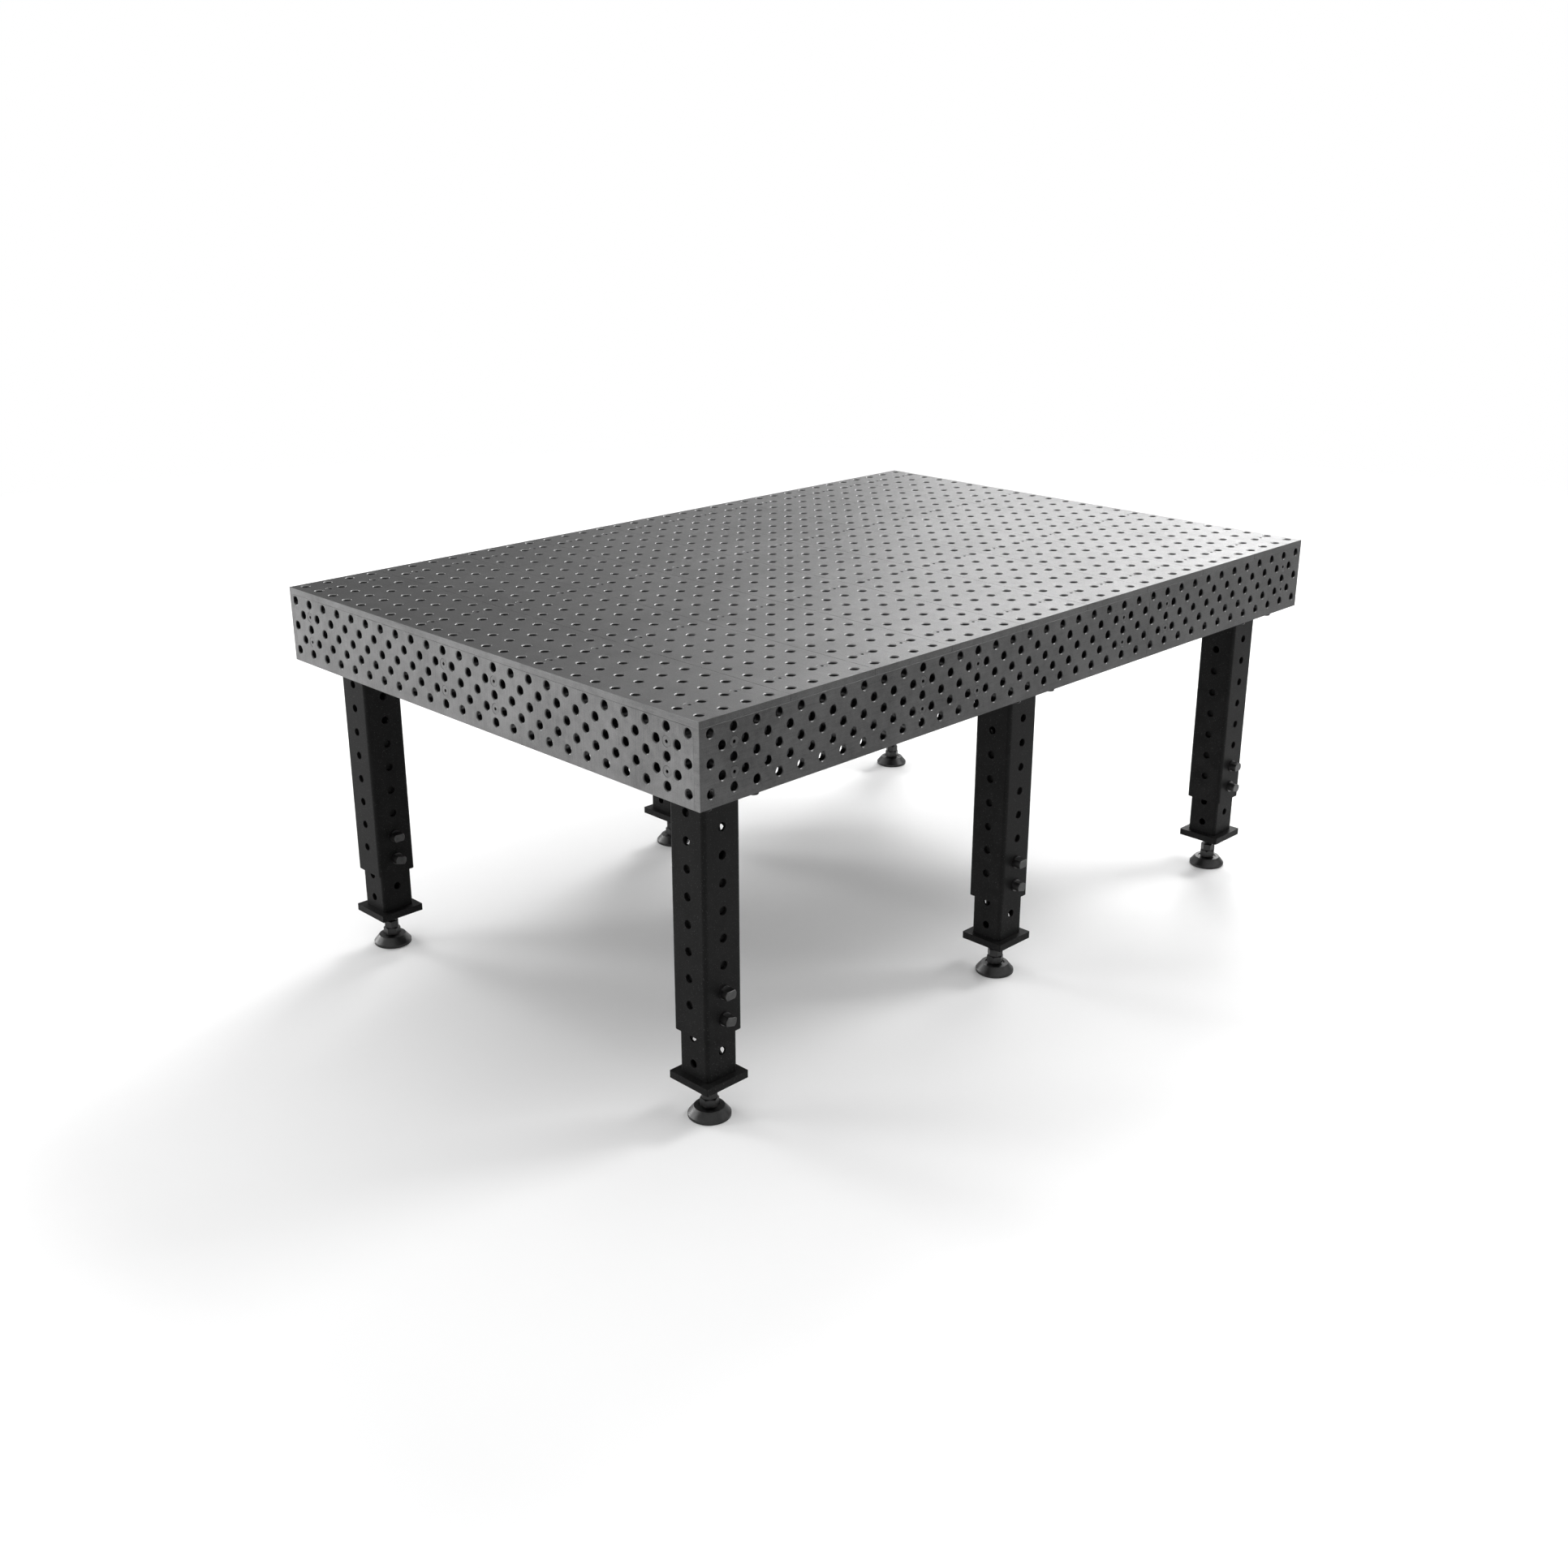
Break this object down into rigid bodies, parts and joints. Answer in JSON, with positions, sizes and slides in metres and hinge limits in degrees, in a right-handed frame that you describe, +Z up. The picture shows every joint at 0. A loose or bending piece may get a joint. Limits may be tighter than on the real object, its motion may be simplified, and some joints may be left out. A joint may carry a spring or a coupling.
{
  "type": "welding table",
  "caption": "Heavy perforated steel welding table with a ribbed top on telescopic legs with levelling feet.",
  "frame": {"origin": "on the floor, under the middle of the table top", "axes": "+X along the long side, +Z up, -Y towards the long side that carries the locking screws"},
  "size_m": [1.794, 1.194, 0.771],
  "materials": {
    "top_steel": "mill finish, mottled, oiled",
    "side_steel": "mill finish, matt",
    "rib_steel": "mill scale",
    "screw_steel": "bright zinc",
    "bolt_steel": "black oxide",
    "leg_paint": "satin black powder coat",
    "lock_steel": "turned and milled, bare",
    "foot_steel": "turned, gunmetal"
  },
  "bodies": {
    "table": {"top_plank_1": "top_steel", "top_plank_2": "top_steel", "top_plank_3": "top_steel", "top_plank_4": "top_steel", "top_plank_5": "top_steel", "top_plank_6": "top_steel", "top_plank_7": "top_steel", "top_plank_8": "top_steel", "top_plank_9": "top_steel", "front_plate_left": "side_steel", "front_plate_right": "side_steel", "rear_plate_left": "side_steel", "rear_plate_right": "side_steel", "end_plate_left": "side_steel", "end_plate_right": "side_steel", "rib_frame": "rib_steel", "countersunk_screws": "screw_steel", "flange_bolts": "bolt_steel", "leg_tube_front_left": "leg_paint", "leg_tube_front_middle": "leg_paint", "leg_tube_front_right": "leg_paint", "leg_tube_rear_left": "leg_paint", "leg_tube_rear_middle": "leg_paint", "leg_tube_rear_right": "leg_paint"},
    "inner_leg_front_left": {"inner_leg_front_left": "leg_paint"},
    "foot_stem_front_left": {"foot_stem_front_left": "foot_steel"},
    "jam_nut_front_left": {"jam_nut_front_left": "foot_steel"},
    "foot_disc_front_left": {"foot_disc_front_left": "foot_steel"},
    "upper_lock_screw_front_left": {"upper_lock_screw_front_left": "lock_steel"},
    "lower_lock_screw_front_left": {"lower_lock_screw_front_left": "lock_steel"},
    "inner_leg_front_middle": {"inner_leg_front_middle": "leg_paint"},
    "foot_stem_front_middle": {"foot_stem_front_middle": "foot_steel"},
    "jam_nut_front_middle": {"jam_nut_front_middle": "foot_steel"},
    "foot_disc_front_middle": {"foot_disc_front_middle": "foot_steel"},
    "upper_lock_screw_front_middle": {"upper_lock_screw_front_middle": "lock_steel"},
    "lower_lock_screw_front_middle": {"lower_lock_screw_front_middle": "lock_steel"},
    "inner_leg_front_right": {"inner_leg_front_right": "leg_paint"},
    "foot_stem_front_right": {"foot_stem_front_right": "foot_steel"},
    "jam_nut_front_right": {"jam_nut_front_right": "foot_steel"},
    "foot_disc_front_right": {"foot_disc_front_right": "foot_steel"},
    "upper_lock_screw_front_right": {"upper_lock_screw_front_right": "lock_steel"},
    "lower_lock_screw_front_right": {"lower_lock_screw_front_right": "lock_steel"},
    "inner_leg_rear_left": {"inner_leg_rear_left": "leg_paint"},
    "foot_stem_rear_left": {"foot_stem_rear_left": "foot_steel"},
    "jam_nut_rear_left": {"jam_nut_rear_left": "foot_steel"},
    "foot_disc_rear_left": {"foot_disc_rear_left": "foot_steel"},
    "upper_lock_screw_rear_left": {"upper_lock_screw_rear_left": "lock_steel"},
    "lower_lock_screw_rear_left": {"lower_lock_screw_rear_left": "lock_steel"},
    "inner_leg_rear_middle": {"inner_leg_rear_middle": "leg_paint"},
    "foot_stem_rear_middle": {"foot_stem_rear_middle": "foot_steel"},
    "jam_nut_rear_middle": {"jam_nut_rear_middle": "foot_steel"},
    "foot_disc_rear_middle": {"foot_disc_rear_middle": "foot_steel"},
    "upper_lock_screw_rear_middle": {"upper_lock_screw_rear_middle": "lock_steel"},
    "lower_lock_screw_rear_middle": {"lower_lock_screw_rear_middle": "lock_steel"},
    "inner_leg_rear_right": {"inner_leg_rear_right": "leg_paint"},
    "foot_stem_rear_right": {"foot_stem_rear_right": "foot_steel"},
    "jam_nut_rear_right": {"jam_nut_rear_right": "foot_steel"},
    "foot_disc_rear_right": {"foot_disc_rear_right": "foot_steel"},
    "upper_lock_screw_rear_right": {"upper_lock_screw_rear_right": "lock_steel"},
    "lower_lock_screw_rear_right": {"lower_lock_screw_rear_right": "lock_steel"}
  },
  "joints": [
    {"name": "leg_extension_front_left", "type": "slide", "parent": "table", "child": "inner_leg_front_left", "axis": [0, 0, -1], "range_m": [-0.08, 0.15]},
    {"name": "foot_screw_front_left", "type": "slide", "parent": "inner_leg_front_left", "child": "foot_stem_front_left", "axis": [0, 0, -1], "range_m": [-0.022, 0.05]},
    {"name": "jam_nut_travel_front_left", "type": "slide", "parent": "foot_stem_front_left", "child": "jam_nut_front_left", "axis": [0, 0, 1], "range_m": [0, 0.022]},
    {"name": "foot_tilt_front_left", "type": "hinge", "parent": "foot_stem_front_left", "child": "foot_disc_front_left", "pos_m": [-0.7945, -0.4948, 0.0105], "axis": [0, 1, 0], "range_deg": [-7, 7]},
    {"name": "upper_lock_screw_front_left_travel", "type": "slide", "parent": "table", "child": "upper_lock_screw_front_left", "axis": [0, -1, 0], "range_m": [0, 0.006]},
    {"name": "lower_lock_screw_front_left_travel", "type": "slide", "parent": "table", "child": "lower_lock_screw_front_left", "axis": [0, -1, 0], "range_m": [0, 0.006]},
    {"name": "leg_extension_front_middle", "type": "slide", "parent": "table", "child": "inner_leg_front_middle", "axis": [0, 0, -1], "range_m": [-0.08, 0.15]},
    {"name": "foot_screw_front_middle", "type": "slide", "parent": "inner_leg_front_middle", "child": "foot_stem_front_middle", "axis": [0, 0, -1], "range_m": [-0.022, 0.05]},
    {"name": "jam_nut_travel_front_middle", "type": "slide", "parent": "foot_stem_front_middle", "child": "jam_nut_front_middle", "axis": [0, 0, 1], "range_m": [0, 0.022]},
    {"name": "foot_tilt_front_middle", "type": "hinge", "parent": "foot_stem_front_middle", "child": "foot_disc_front_middle", "pos_m": [0, -0.4948, 0.0105], "axis": [0, 1, 0], "range_deg": [-7, 7]},
    {"name": "upper_lock_screw_front_middle_travel", "type": "slide", "parent": "table", "child": "upper_lock_screw_front_middle", "axis": [0, -1, 0], "range_m": [0, 0.006]},
    {"name": "lower_lock_screw_front_middle_travel", "type": "slide", "parent": "table", "child": "lower_lock_screw_front_middle", "axis": [0, -1, 0], "range_m": [0, 0.006]},
    {"name": "leg_extension_front_right", "type": "slide", "parent": "table", "child": "inner_leg_front_right", "axis": [0, 0, -1], "range_m": [-0.08, 0.15]},
    {"name": "foot_screw_front_right", "type": "slide", "parent": "inner_leg_front_right", "child": "foot_stem_front_right", "axis": [0, 0, -1], "range_m": [-0.022, 0.05]},
    {"name": "jam_nut_travel_front_right", "type": "slide", "parent": "foot_stem_front_right", "child": "jam_nut_front_right", "axis": [0, 0, 1], "range_m": [0, 0.022]},
    {"name": "foot_tilt_front_right", "type": "hinge", "parent": "foot_stem_front_right", "child": "foot_disc_front_right", "pos_m": [0.7945, -0.4948, 0.0105], "axis": [0, 1, 0], "range_deg": [-7, 7]},
    {"name": "upper_lock_screw_front_right_travel", "type": "slide", "parent": "table", "child": "upper_lock_screw_front_right", "axis": [0, -1, 0], "range_m": [0, 0.006]},
    {"name": "lower_lock_screw_front_right_travel", "type": "slide", "parent": "table", "child": "lower_lock_screw_front_right", "axis": [0, -1, 0], "range_m": [0, 0.006]},
    {"name": "leg_extension_rear_left", "type": "slide", "parent": "table", "child": "inner_leg_rear_left", "axis": [0, 0, -1], "range_m": [-0.08, 0.15]},
    {"name": "foot_screw_rear_left", "type": "slide", "parent": "inner_leg_rear_left", "child": "foot_stem_rear_left", "axis": [0, 0, -1], "range_m": [-0.022, 0.05]},
    {"name": "jam_nut_travel_rear_left", "type": "slide", "parent": "foot_stem_rear_left", "child": "jam_nut_rear_left", "axis": [0, 0, 1], "range_m": [0, 0.022]},
    {"name": "foot_tilt_rear_left", "type": "hinge", "parent": "foot_stem_rear_left", "child": "foot_disc_rear_left", "pos_m": [-0.7945, 0.4948, 0.0105], "axis": [0, 1, 0], "range_deg": [-7, 7]},
    {"name": "upper_lock_screw_rear_left_travel", "type": "slide", "parent": "table", "child": "upper_lock_screw_rear_left", "axis": [0, -1, 0], "range_m": [0, 0.006]},
    {"name": "lower_lock_screw_rear_left_travel", "type": "slide", "parent": "table", "child": "lower_lock_screw_rear_left", "axis": [0, -1, 0], "range_m": [0, 0.006]},
    {"name": "leg_extension_rear_middle", "type": "slide", "parent": "table", "child": "inner_leg_rear_middle", "axis": [0, 0, -1], "range_m": [-0.08, 0.15]},
    {"name": "foot_screw_rear_middle", "type": "slide", "parent": "inner_leg_rear_middle", "child": "foot_stem_rear_middle", "axis": [0, 0, -1], "range_m": [-0.022, 0.05]},
    {"name": "jam_nut_travel_rear_middle", "type": "slide", "parent": "foot_stem_rear_middle", "child": "jam_nut_rear_middle", "axis": [0, 0, 1], "range_m": [0, 0.022]},
    {"name": "foot_tilt_rear_middle", "type": "hinge", "parent": "foot_stem_rear_middle", "child": "foot_disc_rear_middle", "pos_m": [0, 0.4948, 0.0105], "axis": [0, 1, 0], "range_deg": [-7, 7]},
    {"name": "upper_lock_screw_rear_middle_travel", "type": "slide", "parent": "table", "child": "upper_lock_screw_rear_middle", "axis": [0, -1, 0], "range_m": [0, 0.006]},
    {"name": "lower_lock_screw_rear_middle_travel", "type": "slide", "parent": "table", "child": "lower_lock_screw_rear_middle", "axis": [0, -1, 0], "range_m": [0, 0.006]},
    {"name": "leg_extension_rear_right", "type": "slide", "parent": "table", "child": "inner_leg_rear_right", "axis": [0, 0, -1], "range_m": [-0.08, 0.15]},
    {"name": "foot_screw_rear_right", "type": "slide", "parent": "inner_leg_rear_right", "child": "foot_stem_rear_right", "axis": [0, 0, -1], "range_m": [-0.022, 0.05]},
    {"name": "jam_nut_travel_rear_right", "type": "slide", "parent": "foot_stem_rear_right", "child": "jam_nut_rear_right", "axis": [0, 0, 1], "range_m": [0, 0.022]},
    {"name": "foot_tilt_rear_right", "type": "hinge", "parent": "foot_stem_rear_right", "child": "foot_disc_rear_right", "pos_m": [0.7945, 0.4948, 0.0105], "axis": [0, 1, 0], "range_deg": [-7, 7]},
    {"name": "upper_lock_screw_rear_right_travel", "type": "slide", "parent": "table", "child": "upper_lock_screw_rear_right", "axis": [0, -1, 0], "range_m": [0, 0.006]},
    {"name": "lower_lock_screw_rear_right_travel", "type": "slide", "parent": "table", "child": "lower_lock_screw_rear_right", "axis": [0, -1, 0], "range_m": [0, 0.006]}
  ]
}
